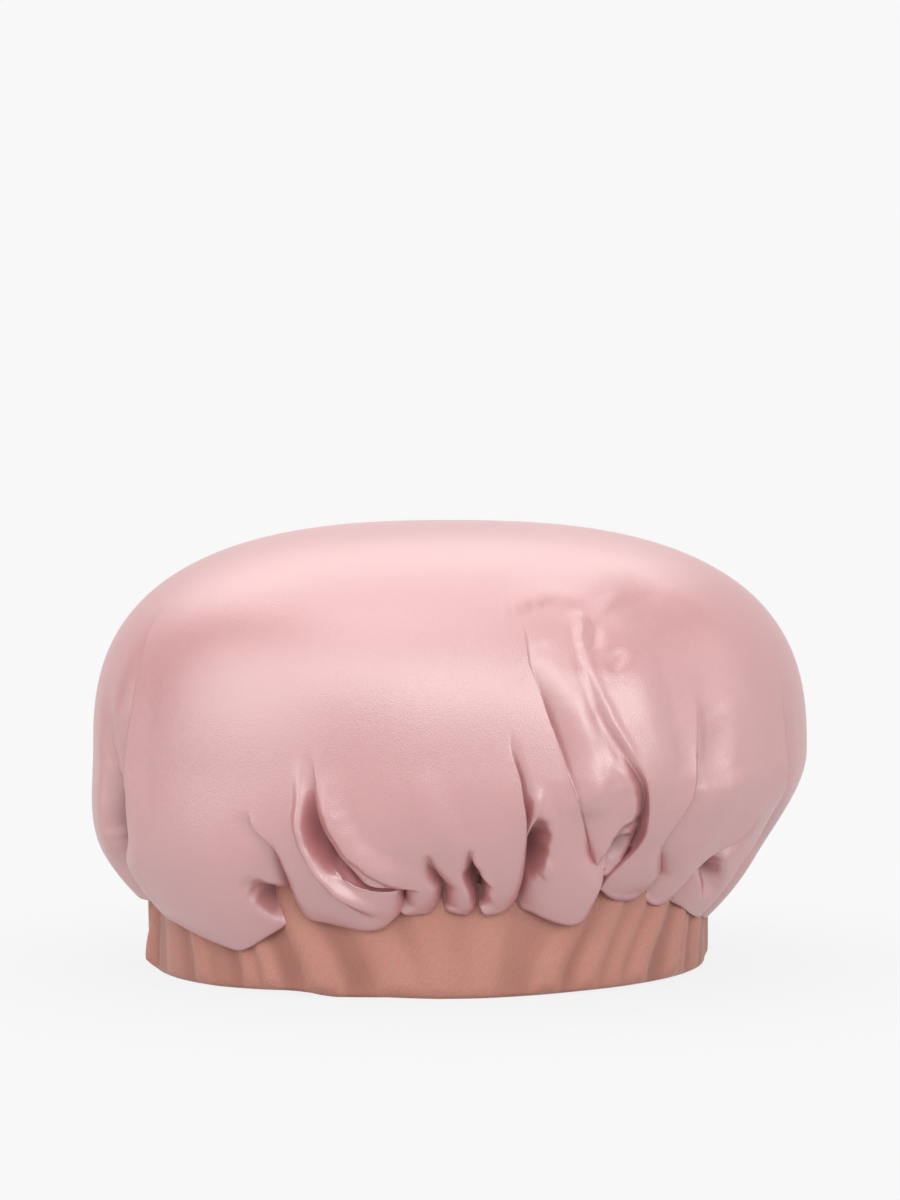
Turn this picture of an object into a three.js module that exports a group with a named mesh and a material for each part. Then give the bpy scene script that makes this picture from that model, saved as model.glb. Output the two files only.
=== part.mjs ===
// A satin hair bonnet with a puffed crown, standing on its band. Millimetres, +Z up, front towards -Y.
// The origin is on the surface under the folded hem, below the middle of the crown.
// Two layers of satin, the crown and its lining, are gathered into a wide band. The band is one strip of
// stretch cloth folded at the hem, with a flat elastic inside and the gathered edges held in its top.
import * as THREE from "three";

// Band
const BAND_WIDTH = 185; // side to side, outside
const BAND_DEPTH = 164; // front to back, outside
const BAND_HEIGHT = 36; // from the folded hem to the top edge
const BAND_CLOTH = 1.2; // one layer of the stretch cloth
const HEM_ROUND = 1.8; // radius of the hem's two edges, which leave a flat strip to stand on

// Crown
const CROWN_WIDTH = 239; // side to side at the widest girth, outside
const CROWN_DEPTH = 212; // front to back at the widest girth, outside
const CROWN_TOP = 149; // height of the crown's top
const GIRTH_HEIGHT = 73; // height of the widest girth
const SHOULDER_SQUARENESS = 2.65; // 2 is an ellipse, and more is squarer
const SATIN = 0.8; // one layer of satin
const LOBE_STANDOFF = 3; // from the band's face to the lowest line of a lobe
const CROWN_LEAN = 7; // how far the crown leans to the right over the band
const LINING_EASE = 1.5; // how far the lining hangs inside the crown's deepest crease

// Sewing
const SEAM_ALLOWANCE = 6; // how deep the gathered edges go into the band
const EASE = 0.3; // clearance between layers
const THREAD = 0.4; // diameter of the sewing thread
const TOPSTITCH_INSET = 3; // from the band's top edge down to the row of stitches
const ELASTIC_CLOTH = 0.9; // thickness of the elastic
const ELASTIC_LAP = 18; // how far the elastic's two ends overlap
const ELASTIC_RAMP = 24; // the stretch over which one end climbs onto the other
const LAP_ZIGZAGS = 6;
const ZIGZAG_STEPS = 8; // steps along one stroke of the zigzag
const LAP_MARGIN = 3; // bare elastic round the zigzag stitches

// Places round the loop, in degrees: 0 is the right side, 90 the back and 270 the front
const END_SEAM_AT = 90;
const ELASTIC_LAP_AT = 55;

// Each gather is a crease that runs up the crown from the seam, at a place round the loop. pinch is its
// depth in the crown, reach the height where it fades, and droop how far the lobe that follows it,
// anticlockwise, hangs below the band's top edge.
const GATHERS = [
  { at: 193, pinch: 6, reach: 118, droop: 24 },
  { at: 239, pinch: 4, reach: 60, droop: 14 },
  { at: 261, pinch: 5, reach: 82, droop: 8 },
  { at: 269, pinch: 3, reach: 58, droop: 9 },
  { at: 277.6, pinch: 4, reach: 62, droop: 8 },
  { at: 285, pinch: 5, reach: 84, droop: 12 },
  { at: 300, pinch: 7, reach: 118, droop: 6 },
  { at: 310.5, pinch: 8, reach: 112, droop: 6 },
  { at: 317, pinch: 5, reach: 92, droop: 8 },
  { at: 328, pinch: 4, reach: 78, droop: 14 },
  { at: 346, pinch: 6, reach: 100, droop: 17 },
  { at: 372, pinch: 4, reach: 86, droop: 18 },
  { at: 397, pinch: 6, reach: 104, droop: 13 },
  { at: 424, pinch: 4, reach: 80, droop: 15 },
  { at: 450, pinch: 6, reach: 108, droop: 11 },
  { at: 477, pinch: 5, reach: 84, droop: 16 },
  { at: 504, pinch: 6, reach: 102, droop: 12 },
  { at: 530, pinch: 4, reach: 88, droop: 13 },
];
const WIDEST_STEP = 7; // degrees between two columns of the crown's mesh, at most
const LOOP_STEPS = 72; // steps round the band's loop
const THREAD_SIDES = 6;

// Shares of the curve from the widest girth down to a lobe or to the bottom of a crease
const GIRTH_FALL = 0.4; // how far the cloth falls straight down from the girth
const LOBE_HEEL = { span: 0.53, height: 0.23 }; // fullness just above a lobe's lowest line
const CREASE_HEEL = { span: 0.35, height: 0.3 }; // fullness just above the seam in a crease
const LINING_HEEL = { span: 0.12, height: 0.45 }; // the lining rises more steeply from the seam
const LINING_TURNS = [25, 45, 64, 90]; // degrees above the girth of the rings up to the top
const LINING_BELLIES = [0.7, 0.35]; // shares of the fall from the girth of the rings below it
const CROWN_TURNS = [20, 38, 52, 68, 90];
const CROWN_BELLIES = { inside: [], outside: [0.5] };
const CREASE_LIFT = 1.5; // how far a crease rises where it leaves the band
const CREASE_FOOT = 0.7; // the share of a crease's fall that is level with the lobes' lowest line
const LOBE_ROUNDNESS = 0.6; // below 1, a lobe is full and the creases between lobes are narrow

// Layers inside the band, as distances out from its outer face
const HEM_STACK = EASE + THREAD + EASE + SATIN + EASE + SATIN + EASE;
const LAP_STACK = EASE + ELASTIC_CLOTH + EASE + ELASTIC_CLOTH + EASE + THREAD + EASE;
const CHANNEL = Math.max(HEM_STACK, LAP_STACK);
const BAND_THICKNESS = BAND_CLOTH + CHANNEL + BAND_CLOTH;
const THREAD_OUT = -BAND_CLOTH - EASE - THREAD / 2;
const CROWN_OUT = THREAD_OUT - THREAD / 2 - EASE - SATIN / 2;
const LINING_OUT = CROWN_OUT - SATIN - EASE;
const ELASTIC_OUT = -BAND_THICKNESS + BAND_CLOTH + EASE;
const TOPSTITCH_OUT = -BAND_THICKNESS - EASE - THREAD / 2;

// Heights inside the band
const CHANNEL_FLOOR = BAND_CLOTH + EASE;
const ALLOWANCE_END = BAND_HEIGHT - SEAM_ALLOWANCE;
const ELASTIC_WIDTH = ALLOWANCE_END - EASE - CHANNEL_FLOOR;
const SEAM_TOP = BAND_HEIGHT + EASE + SATIN;

const TURN = 2 * Math.PI;
const radians = THREE.MathUtils.degToRad;

// A half width, half depth and height: a point of a section that goes round the loop.
function spans(out, height) {
  return new THREE.Vector3(BAND_WIDTH / 2 + out, BAND_DEPTH / 2 + out, height);
}

// The point of a section at an angle round the loop. The crown leans between the band and its girth.
function placed(section, angle) {
  const upright = 1 - THREE.MathUtils.smoothstep(section.z, SEAM_TOP, GIRTH_HEIGHT);
  const middle = -CROWN_LEAN * upright;
  return new THREE.Vector3(middle + section.x * Math.cos(angle), section.y * Math.sin(angle), section.z);
}

// A lathe whose vertices are put by place(column, row), with the columns running round the loop.
function turned(columns, rows, place) {
  const outline = Array.from({ length: rows }, (_, row) => new THREE.Vector2(1, row));
  const geometry = new THREE.LatheGeometry(outline, columns);
  const position = geometry.getAttribute("position");
  for (let i = 0; i < position.count; i += 1) {
    const point = place(Math.floor(i / rows) % columns, i % rows);
    position.setXYZ(i, point.x, point.y, point.z);
  }
  geometry.computeVertexNormals();
  return geometry;
}

// A closed section, anticlockwise in (distance out, height), swept round the band's loop.
function sweptLoop(section) {
  const closed = [...section, section[0]];
  return turned(LOOP_STEPS, closed.length, (column, row) =>
    placed(spans(closed[row].x, closed[row].y), (column / LOOP_STEPS) * TURN),
  );
}

function circle(out, height, radius) {
  return Array.from({ length: THREAD_SIDES }, (_, i) => {
    const angle = (i / THREAD_SIDES) * TURN;
    return new THREE.Vector2(out + radius * Math.cos(angle), height + radius * Math.sin(angle));
  });
}

// One point of the shoulder above the girth, for a cloth with that girth and top.
function shoulder(girth, top, degrees) {
  const across = Math.max(0, Math.cos(radians(degrees)));
  const up = Math.sin(radians(degrees));
  const power = SHOULDER_SQUARENESS;
  const reach = (across ** power + up ** power) ** (-1 / power);
  const height = girth.z + (top - girth.z) * up * reach;
  return new THREE.Vector3(girth.x * across * reach, girth.y * across * reach, height);
}

// The curve from the girth down to an end, with a heel that sets how full it is there.
function fall(girth, end, heel) {
  const below = girth.clone().setZ(THREE.MathUtils.lerp(girth.z, end.z, GIRTH_FALL));
  const above = end.clone().lerp(girth, heel.span);
  above.z = THREE.MathUtils.lerp(end.z, girth.z, heel.height);
  return new THREE.CubicBezierCurve3(girth, below, above, end);
}

// A line of section points, from the seam up to the top, moved sideways to one face of its cloth.
function face(line, offset) {
  return line.map((point, i) => {
    const before = line[Math.max(i - 1, 0)];
    const after = line[Math.min(i + 1, line.length - 1)];
    const along = new THREE.Vector2(after.x - before.x, after.z - before.z).normalize();
    const out = i === line.length - 1 ? new THREE.Vector2(0, 1) : new THREE.Vector2(along.y, -along.x);
    return new THREE.Vector3(out.x, out.x, out.y).multiplyScalar(offset).add(point);
  });
}

// The section of a satin layer: its inner face from the top down, then its outer face from the seam up.
function shell(innerLine, outerLine) {
  return [...face(innerLine, -SATIN / 2).reverse(), ...face(outerLine, SATIN / 2)];
}

// Crown

const CROWN_GIRTH = new THREE.Vector3((CROWN_WIDTH - SATIN) / 2, (CROWN_DEPTH - SATIN) / 2, GIRTH_HEIGHT);
const CROWN_SEAM = spans(CROWN_OUT, SEAM_TOP);

// The crown's line of section points at one column: crest is 0 in a crease and 1 on top of a lobe.
function crownLine({ crest, crease, droop }, bellies) {
  const lobe = fall(CROWN_GIRTH, spans(LOBE_STANDOFF, BAND_HEIGHT - droop), LOBE_HEEL);
  const fold = fall(CROWN_GIRTH, CROWN_SEAM, CREASE_HEEL);
  const between = (foldShare, lobeShare) => fold.getPoint(foldShare).lerp(lobe.getPoint(lobeShare), crest);
  const pinched = (point) => {
    const fade = THREE.MathUtils.clamp((crease.reach - point.z) / (crease.reach - SEAM_TOP), 0, 1);
    const pinch = (1 - crest) * crease.pinch * fade;
    return point.clone().sub(new THREE.Vector3(pinch, pinch, 0));
  };
  return [
    spans(CROWN_OUT, ALLOWANCE_END),
    CROWN_SEAM,
    spans(LOBE_STANDOFF - SATIN, SEAM_TOP + (1 - crest) * CREASE_LIFT),
    between(CREASE_FOOT, 1),
    ...bellies.map((share) => pinched(between(share * CREASE_FOOT, share))),
    pinched(CROWN_GIRTH),
    ...CROWN_TURNS.map((degrees) => pinched(shoulder(CROWN_GIRTH, CROWN_TOP - SATIN / 2, degrees))),
  ];
}

// The columns of the crown's mesh: each gather has an even number, from its crease over its lobe.
function crownColumns() {
  return GATHERS.flatMap((gather, i) => {
    const next = GATHERS[(i + 1) % GATHERS.length];
    const width = (((next.at - gather.at) % 360) + 360) % 360;
    const count = 2 * Math.ceil(width / (2 * WIDEST_STEP));
    return Array.from({ length: count }, (_, k) => {
      const share = k / count;
      return {
        angle: radians(gather.at + share * width),
        crest: Math.sin(share * Math.PI) ** LOBE_ROUNDNESS,
        crease: share > 0.5 ? next : gather,
        droop: gather.droop,
      };
    });
  });
}

function crownSatin() {
  const columns = crownColumns();
  const sections = columns.map((column) =>
    shell(crownLine(column, CROWN_BELLIES.inside), crownLine(column, CROWN_BELLIES.outside)),
  );
  return turned(columns.length, sections[0].length, (column, row) =>
    placed(sections[column][row], columns[column].angle),
  );
}

// The lining is plain, and hangs inside the deepest creases.
function crownLining() {
  const inset = Math.max(...GATHERS.map((gather) => gather.pinch)) + SATIN + LINING_EASE;
  const girth = CROWN_GIRTH.clone().sub(new THREE.Vector3(inset, inset, 0));
  const seam = spans(LINING_OUT, SEAM_TOP);
  const curve = fall(girth, seam, LINING_HEEL);
  const top = CROWN_TOP - SATIN / 2 - inset;
  const line = [
    spans(LINING_OUT, ALLOWANCE_END),
    seam,
    ...LINING_BELLIES.map((share) => curve.getPoint(share)),
    girth,
    ...LINING_TURNS.map((degrees) => shoulder(girth, top, degrees)),
  ];
  const section = shell(line, line);
  return turned(LOOP_STEPS, section.length, (column, row) =>
    placed(section[row], (column / LOOP_STEPS) * TURN),
  );
}

// Band

// The strip's section is a deep U: up the outer face, down into the channel and back up, and down the
// face that lies against the head.
function bandCasing() {
  const hemCorner = (middle, from) =>
    [0, 45, 90].map((turn) => {
      const angle = radians(from + turn);
      return new THREE.Vector2(
        middle + HEM_ROUND * Math.cos(angle),
        HEM_ROUND + HEM_ROUND * Math.sin(angle),
      );
    });
  const innerWall = -BAND_THICKNESS + BAND_CLOTH;
  return sweptLoop([
    ...hemCorner(-HEM_ROUND, 270),
    new THREE.Vector2(0, BAND_HEIGHT),
    new THREE.Vector2(-BAND_CLOTH, BAND_HEIGHT),
    new THREE.Vector2(-BAND_CLOTH, BAND_CLOTH),
    new THREE.Vector2(innerWall, BAND_CLOTH),
    new THREE.Vector2(innerWall, BAND_HEIGHT),
    new THREE.Vector2(-BAND_THICKNESS, BAND_HEIGHT),
    ...hemCorner(-BAND_THICKNESS + HEM_ROUND, 180),
  ]);
}

const LAP_TURN = ELASTIC_LAP / (BAND_WIDTH / 2 + ELASTIC_OUT);
const RAMP_TURN = ELASTIC_RAMP / (BAND_WIDTH / 2 + ELASTIC_OUT);
const LAP_RISE = ELASTIC_CLOTH + EASE;

// The elastic is one open strip that goes once round, with its end lapped over the outside of its start.
function bandElastic() {
  const start = radians(ELASTIC_LAP_AT) - LAP_TURN / 2;
  const length = TURN + LAP_TURN;
  const edge = (offset) =>
    Array.from({ length: LOOP_STEPS + 1 }, (_, i) => {
      const turn = (i / LOOP_STEPS) * length;
      const climb = THREE.MathUtils.smoothstep(turn, TURN - RAMP_TURN, TURN);
      const point = placed(spans(ELASTIC_OUT + offset + climb * LAP_RISE, 0), start + turn);
      return new THREE.Vector2(point.x, point.y);
    });
  const outline = new THREE.Shape([...edge(ELASTIC_CLOTH), ...edge(0).reverse()]);
  return new THREE.ExtrudeGeometry(outline, { depth: ELASTIC_WIDTH, bevelEnabled: false });
}

function threadAlong(path, steps) {
  const section = new THREE.Shape().absarc(0, 0, THREAD / 2, 0, TURN);
  return new THREE.ExtrudeGeometry(section, { extrudePath: path, steps, curveSegments: THREAD_SIDES / 2 });
}

// The zigzag that joins the elastic's lapped ends, on the outside of the lap.
function lapZigzag() {
  const out = ELASTIC_OUT + LAP_RISE + ELASTIC_CLOTH + EASE + THREAD / 2;
  const margin = LAP_MARGIN / ELASTIC_LAP;
  const points = Array.from({ length: LAP_ZIGZAGS + 1 }, (_, i) => {
    const share = THREE.MathUtils.lerp(margin, 1 - margin, i / LAP_ZIGZAGS) - 0.5;
    const height = CHANNEL_FLOOR + (i % 2 === 0 ? LAP_MARGIN : ELASTIC_WIDTH - LAP_MARGIN);
    return placed(spans(out, height), radians(ELASTIC_LAP_AT) + share * LAP_TURN);
  });
  return threadAlong(new THREE.CatmullRomCurve3(points), LAP_ZIGZAGS * ZIGZAG_STEPS);
}

// The seam that closes the strip into a loop, a column of stitches inside the outer face at the back.
function endSeam() {
  const from = placed(spans(THREAD_OUT, CHANNEL_FLOOR), radians(END_SEAM_AT));
  const to = placed(spans(THREAD_OUT, CHANNEL_FLOOR + ELASTIC_WIDTH), radians(END_SEAM_AT));
  return threadAlong(new THREE.LineCurve3(from, to), 1);
}

// Assembly

function cloth(color, roughness) {
  return new THREE.MeshStandardMaterial({ color, roughness, metalness: 0 });
}

const pinkSatin = cloth(0xe6b9ba, 0.38);
const paleSatin = cloth(0xe9c3c3, 0.42);
const roseStretch = cloth(0xb98373, 0.7);
const whiteElastic = cloth(0xf1ece6, 0.85);
const pinkThread = cloth(0xd9a3a3, 0.6);

function piece(name, geometry, material) {
  const mesh = new THREE.Mesh(geometry, material);
  mesh.name = name;
  return mesh;
}

const crown = new THREE.Group();
crown.add(piece("crown_satin", crownSatin(), pinkSatin));
crown.add(piece("crown_lining", crownLining(), paleSatin));
const gathering = circle(THREAD_OUT, (ALLOWANCE_END + BAND_HEIGHT) / 2, THREAD / 2);
crown.add(piece("gathering_thread", sweptLoop(gathering), pinkThread));

const band = new THREE.Group();
band.add(piece("band_casing", bandCasing(), roseStretch));
band.add(piece("band_end_stitches", endSeam(), pinkThread));
const topstitch = circle(TOPSTITCH_OUT, BAND_HEIGHT - TOPSTITCH_INSET, THREAD / 2);
band.add(piece("band_topstitch", sweptLoop(topstitch), pinkThread));
const elastic = piece("band_elastic", bandElastic(), whiteElastic);
elastic.position.z = CHANNEL_FLOOR;
band.add(elastic);
band.add(piece("elastic_lap_stitches", lapZigzag(), pinkThread));

const bonnet = new THREE.Group();
bonnet.add(crown, band);

export default bonnet;
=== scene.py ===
"""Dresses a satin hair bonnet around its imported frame: gathered crown, lining, stretch band and stitches.

Blender's lengths are metres, so a size in millimetres is written as a number times MM. An angle round the
bonnet is in degrees, anticlockwise seen from above, with 0 at its right side, so the front is at 270.
"""

import logging
import math
from dataclasses import dataclass
from enum import Enum

import bmesh
import bpy
import numpy as np
from mathutils import Matrix, Vector


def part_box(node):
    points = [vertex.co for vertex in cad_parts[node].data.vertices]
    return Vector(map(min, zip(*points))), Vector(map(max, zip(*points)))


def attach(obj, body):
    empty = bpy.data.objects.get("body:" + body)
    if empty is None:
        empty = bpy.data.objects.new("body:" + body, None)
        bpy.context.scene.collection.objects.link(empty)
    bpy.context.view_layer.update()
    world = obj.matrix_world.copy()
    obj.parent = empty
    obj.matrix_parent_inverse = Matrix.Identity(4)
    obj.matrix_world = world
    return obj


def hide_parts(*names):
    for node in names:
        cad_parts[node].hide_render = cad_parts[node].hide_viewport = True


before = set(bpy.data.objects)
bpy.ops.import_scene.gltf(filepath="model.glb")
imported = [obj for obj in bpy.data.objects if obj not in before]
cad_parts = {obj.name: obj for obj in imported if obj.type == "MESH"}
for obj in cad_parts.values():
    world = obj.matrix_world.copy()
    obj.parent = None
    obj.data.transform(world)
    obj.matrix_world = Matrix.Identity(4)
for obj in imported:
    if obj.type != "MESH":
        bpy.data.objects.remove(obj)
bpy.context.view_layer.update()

LOG = logging.getLogger("bonnet")
MM = 0.001
BODY = "root"
CUT_MAP = "cut"  # the UV map that holds a cloth's flat cut, in metres
# The attribute below is painted shade: each cloth's colour darkens by it where the cloth lies deep in a
# fold, and the cloth grows rougher there.
PAINTED_SHADE = "hollow"  # the attribute that says how deep in a fold the cloth lies, from 0 to 1
BUMP_DEPTH = 0.2 * MM  # how deep the fine bumps of the cloths are
SEAM = 36.0  # the height in mm of the seam, where every crease of the crown starts
CREASE_ROUNDING = 6  # how far to either side a crease's corners are rounded, in mm
EDGE_ROUNDING = 8  # how far to either side the lobes' edge is rounded, in half degrees


# Arrays

def smoothstep(value: np.ndarray | float) -> np.ndarray:
    """A share from 0 to 1 that starts and ends level."""
    share = np.clip(value, 0.0, 1.0)
    return share * share * (3.0 - 2.0 * share)


def turn_between(angle: np.ndarray, start: np.ndarray | float) -> np.ndarray:
    """The shorter turn from one angle to another, in degrees from -180 to 180."""
    return (angle - start + 180.0) % 360.0 - 180.0


def bezier(
    start: np.ndarray, first: np.ndarray, second: np.ndarray, end: np.ndarray, share: np.ndarray
) -> np.ndarray:
    """Points on cubic curves.

    Args:
        start, first, second, end: control points, one row for each curve.
        share: how far along its curve each point is, from 0 to 1.

    Returns:
        One point for each curve.
    """
    t = np.clip(share, 0.0, 1.0)[:, None]
    rest = 1.0 - t
    return rest**3 * start + 3 * rest**2 * t * first + 3 * rest * t**2 * second + t**3 * end


def smooth_path(points: tuple[tuple[float, float], ...], count: int) -> np.ndarray:
    """A smooth line through a few points.

    Args:
        points: the points that the line passes through.
        count: how many points to return.

    Returns:
        Points along a Catmull-Rom curve.
    """
    known = np.array(points, float)
    padded = np.vstack([2 * known[0] - known[1], known, 2 * known[-1] - known[-2]])
    place = np.linspace(0, len(known) - 1, count)
    index = np.minimum(place.astype(int), len(known) - 2)
    t = (place - index)[:, None]
    a, b, c, d = (padded[index + k] for k in range(4))
    return 0.5 * (2 * b + (c - a) * t + (2 * a - 5 * b + 4 * c - d) * t**2 + (3 * b - a - 3 * c + d) * t**3)


def rounded(values: np.ndarray, reach: int, closed: bool) -> np.ndarray:
    """Rounds the corners of a line of values.

    Args:
        values: evenly spaced samples.
        reach: how many samples to either side count.
        closed: whether the line runs round; the ends of an open line keep their values.

    Returns:
        As many samples.
    """
    window = np.hanning(2 * reach + 3)[1:-1]
    if closed:
        padded = np.pad(values, reach, mode="wrap")
    else:
        padded = np.pad(values, reach, mode="reflect", reflect_type="odd")
    return np.convolve(padded, window / window.sum(), mode="valid")


def coordinates(mesh: bpy.types.Mesh) -> np.ndarray:
    """The places of a mesh's vertices, one row each."""
    places = np.zeros(len(mesh.vertices) * 3)
    mesh.vertices.foreach_get("co", places)
    return places.reshape(-1, 3)


def move_vertices(mesh: bpy.types.Mesh, places: np.ndarray) -> None:
    """Puts each vertex of a mesh in its place."""
    mesh.vertices.foreach_set("co", places.astype(np.float32).ravel())
    mesh.update()


def vertex_normals(mesh: bpy.types.Mesh) -> np.ndarray:
    """The normals of a mesh's vertices, one row each."""
    normals = np.zeros(len(mesh.vertices) * 3, np.float32)
    mesh.vertex_normals.foreach_get("vector", normals)
    return normals.reshape(-1, 3).astype(float)


def edge_list(mesh: bpy.types.Mesh) -> np.ndarray:
    """The two vertices of each of a mesh's edges."""
    ends = np.zeros(len(mesh.edges) * 2, np.int32)
    mesh.edges.foreach_get("vertices", ends)
    return ends.reshape(-1, 2)


def relax(places: np.ndarray, edges: np.ndarray, free: np.ndarray, rounds: int, pull: float) -> np.ndarray:
    """Eases vertices towards the middle of their neighbours.

    Args:
        places: where the vertices are.
        edges: pairs of neighbours.
        free: how far each vertex may follow, from 0 to 1.
        rounds: how many times to ease.
        pull: the share of the way that a free vertex moves each time.

    Returns:
        The eased places.
    """
    count = np.bincount(edges.ravel(), minlength=len(places))[:, None]
    eased = places.copy()
    for _ in range(rounds):
        total = np.zeros_like(eased)
        for axis in range(3):
            total[:, axis] += np.bincount(edges[:, 0], eased[edges[:, 1], axis], len(places))
            total[:, axis] += np.bincount(edges[:, 1], eased[edges[:, 0], axis], len(places))
        eased += (total / count - eased) * (pull * free)[:, None]
    return eased


# Finishes

class Nodes:
    """Adds and joins the nodes of one material."""

    def __init__(self, name: str) -> None:
        """Starts a material with only a Principled shader and its output."""
        self.material = bpy.data.materials.new(name)
        self.material.use_nodes = True
        self.tree = self.material.node_tree
        self.shader = self.tree.nodes["Principled BSDF"]

    def add(self, kind: str, settings: dict | None = None, inputs: dict | None = None) -> bpy.types.Node:
        """Adds a node.

        Args:
            kind: the node's Blender type.
            settings: its properties.
            inputs: values or sockets for its inputs, by name or number.

        Returns:
            The new node.
        """
        node = self.tree.nodes.new(kind)
        for key, value in (settings or {}).items():
            setattr(node, key, value)
        for key, value in (inputs or {}).items():
            self.feed(node, key, value)
        return node

    def feed(self, node: bpy.types.Node, key: str | int, value: object) -> None:
        """Sets an input of a node to a value, or joins a socket to it."""
        if isinstance(value, bpy.types.NodeSocket):
            self.tree.links.new(value, node.inputs[key])
        else:
            node.inputs[key].default_value = value

    def ramp(self, factor: bpy.types.NodeSocket, low: tuple, high: tuple) -> bpy.types.NodeSocket:
        """A colour between two, by a factor.

        Args:
            factor: the factor's socket.
            low: colour at 0.
            high: colour at 1.

        Returns:
            The mixed colour's socket.
        """
        mix = self.add("ShaderNodeMix", {"data_type": "RGBA"})
        self.feed(mix, 0, factor)
        self.feed(mix, 6, (*low, 1.0))
        self.feed(mix, 7, (*high, 1.0))
        return mix.outputs[2]

    def with_painted_shade(self, color: bpy.types.NodeSocket, painted_shade_color: tuple) -> bpy.types.NodeSocket:
        """Turns a colour towards a dark painted shade where the cloth lies deep in a fold."""
        hollow = self.add("ShaderNodeAttribute", {"attribute_name": PAINTED_SHADE})
        mix = self.add("ShaderNodeMix", {"data_type": "RGBA"}, {0: hollow.outputs["Fac"], 6: color})
        self.feed(mix, 7, (*painted_shade_color, 1.0))
        return mix.outputs[2]

    def bump(
        self, height: bpy.types.NodeSocket, strength: float, under: bpy.types.Node | None = None
    ) -> bpy.types.Node:
        """Adds a fine bump on top of another one.

        Args:
            height: the height's socket.
            strength: how strong it is, from 0 to 1.
            under: the bump below it, if any.

        Returns:
            The bump's node.
        """
        node = self.add("ShaderNodeBump", inputs={"Strength": strength, "Distance": BUMP_DEPTH})
        self.feed(node, "Height", height)
        if under is not None:
            self.feed(node, "Normal", under.outputs["Normal"])
        return node


def linear(red: int, green: int, blue: int) -> tuple[float, float, float]:
    """A colour as seen on a screen, 0 to 255, as linear light."""
    shares = (channel / 255 for channel in (red, green, blue))
    return tuple(s / 12.92 if s <= 0.04045 else ((s + 0.055) / 1.055) ** 2.4 for s in shares)


@dataclass(frozen=True)
class SatinFinish:
    """Glossy satin: a soft sheen, a fine sparkling grain, faint clouds of colour, and painted shade deep in
    its folds.
    """

    name: str
    painted_shade_color: tuple[float, float, float]
    shade: tuple[float, float, float]
    light: tuple[float, float, float]
    roughness: float
    grain: float
    fleck: float = 0.10
    roughness_spread: float = 0.06
    hollow_roughness: float = 0.85

    def material(self) -> bpy.types.Material:
        """Builds the satin's material."""
        nodes = Nodes(self.name)
        place = nodes.add("ShaderNodeTexCoord").outputs["Object"]
        clouds = nodes.add("ShaderNodeTexNoise", inputs={"Vector": place, "Scale": 22.0, "Detail": 3.0})
        speck = nodes.add("ShaderNodeTexNoise", inputs={"Vector": place, "Scale": 2400.0, "Detail": 1.0})
        shade = nodes.ramp(clouds.outputs["Fac"], self.shade, self.light)
        fleck = nodes.add("ShaderNodeMix", {"data_type": "RGBA", "blend_type": "OVERLAY"})
        nodes.feed(fleck, 0, self.fleck)
        nodes.feed(fleck, 6, shade)
        nodes.feed(fleck, 7, speck.outputs["Color"])
        # Painted shade: the colour turns dark where the cloth lies deep in a fold or under a lobe.
        color = nodes.with_painted_shade(fleck.outputs[2], self.painted_shade_color)
        sheen = nodes.add("ShaderNodeMapRange", inputs={0: speck.outputs["Fac"]})
        nodes.feed(sheen, 3, self.roughness - self.roughness_spread)
        nodes.feed(sheen, 4, self.roughness + self.roughness_spread)
        hollow = nodes.add("ShaderNodeAttribute", {"attribute_name": PAINTED_SHADE})
        rough = nodes.add("ShaderNodeMix", inputs={0: hollow.outputs["Fac"], 2: sheen.outputs[0]})
        nodes.feed(rough, 3, self.hollow_roughness)
        grain = nodes.bump(speck.outputs["Fac"], self.grain)
        nodes.feed(nodes.shader, "Base Color", color)
        nodes.feed(nodes.shader, "Roughness", rough.outputs[0])
        nodes.feed(nodes.shader, "Normal", grain.outputs["Normal"])
        nodes.feed(nodes.shader, "Sheen Weight", 0.1)
        nodes.feed(nodes.shader, "Sheen Roughness", 0.35)
        nodes.feed(nodes.shader, "Sheen Tint", (1.0, 0.9, 0.9, 1.0))
        nodes.feed(nodes.shader, "Specular IOR Level", 1.0)
        nodes.feed(nodes.shader, "IOR", 2.0)
        return nodes.material


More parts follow.
